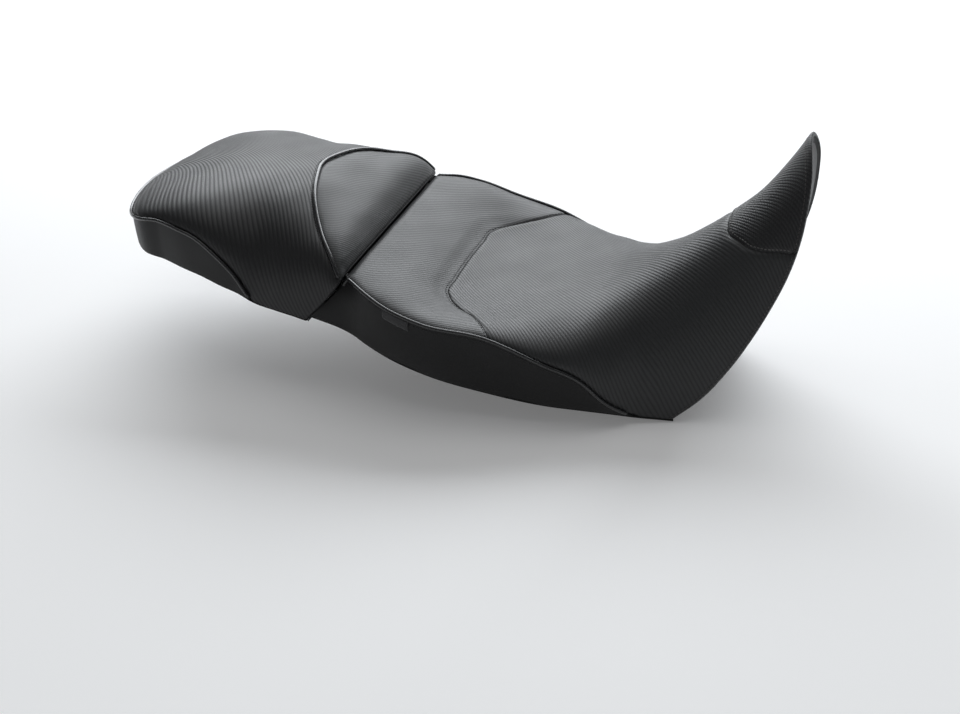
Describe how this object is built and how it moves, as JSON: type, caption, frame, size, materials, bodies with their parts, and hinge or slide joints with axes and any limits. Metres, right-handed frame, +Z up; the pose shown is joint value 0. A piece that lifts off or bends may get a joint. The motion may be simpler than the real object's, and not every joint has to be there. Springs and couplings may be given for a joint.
{
  "type": "motorcycle seat",
  "caption": "Two-piece motorcycle seat: dished rider seat with a nose that climbs to the tank, and a tilting pillion seat, both in sewn twill vinyl with piping.",
  "frame": {"origin": "centre of the seat's footprint, at the height of its lowest point", "axes": "+X to the front of the motorcycle, +Y to its left, +Z up, as mounted"},
  "size_m": [0.7418, 0.3554, 0.2895],
  "materials": {
    "twill_vinyl": "satin",
    "smooth_vinyl": "satin",
    "piping_vinyl": "gloss",
    "seat_foam": "matte",
    "pan_plastic": "matte",
    "bumper_rubber": "matte",
    "zinc_steel": "satin",
    "label_fabric": "matte"
  },
  "bodies": {
    "rider_seat": {"rider_base_pan": "pan_plastic", "rider_foam": "seat_foam", "rider_rear_panel": "twill_vinyl", "rider_seat_panel": "twill_vinyl", "rider_nose_panel": "twill_vinyl", "rider_skirt_right": "smooth_vinyl", "rider_skirt_left": "smooth_vinyl", "rider_rear_gusset": "smooth_vinyl", "rider_front_gusset": "smooth_vinyl", "rider_piping_right": "piping_vinyl", "rider_piping_left": "piping_vinyl", "rider_cover_hem": "smooth_vinyl", "rider_staples": "zinc_steel", "rider_front_tongue": "zinc_steel", "rider_tongue_rivets": "zinc_steel", "rider_striker": "zinc_steel", "rider_striker_plate": "zinc_steel", "rider_striker_nuts": "zinc_steel", "rider_bumpers": "bumper_rubber", "side_label": "label_fabric"},
    "pillion_seat": {"pillion_base_pan": "pan_plastic", "pillion_foam": "seat_foam", "pillion_rear_panel": "twill_vinyl", "pillion_front_panel": "twill_vinyl", "pillion_skirt": "smooth_vinyl", "pillion_crown_welt": "piping_vinyl", "pillion_edge_piping": "piping_vinyl", "pillion_front_gusset": "smooth_vinyl", "pillion_cover_hem": "smooth_vinyl", "pillion_staples": "zinc_steel", "pillion_rear_tongue": "zinc_steel", "pillion_tongue_rivets": "zinc_steel", "pillion_striker": "zinc_steel", "pillion_striker_plate": "zinc_steel", "pillion_striker_nuts": "zinc_steel", "pillion_bumpers": "bumper_rubber"}
  },
  "joints": [
    {"name": "pillion_tilt", "type": "hinge", "parent": "rider_seat", "child": "pillion_seat", "pos_m": [-0.3314, 0, 0.1152], "axis": [0, -1, 0], "range_deg": [0, 50]}
  ]
}
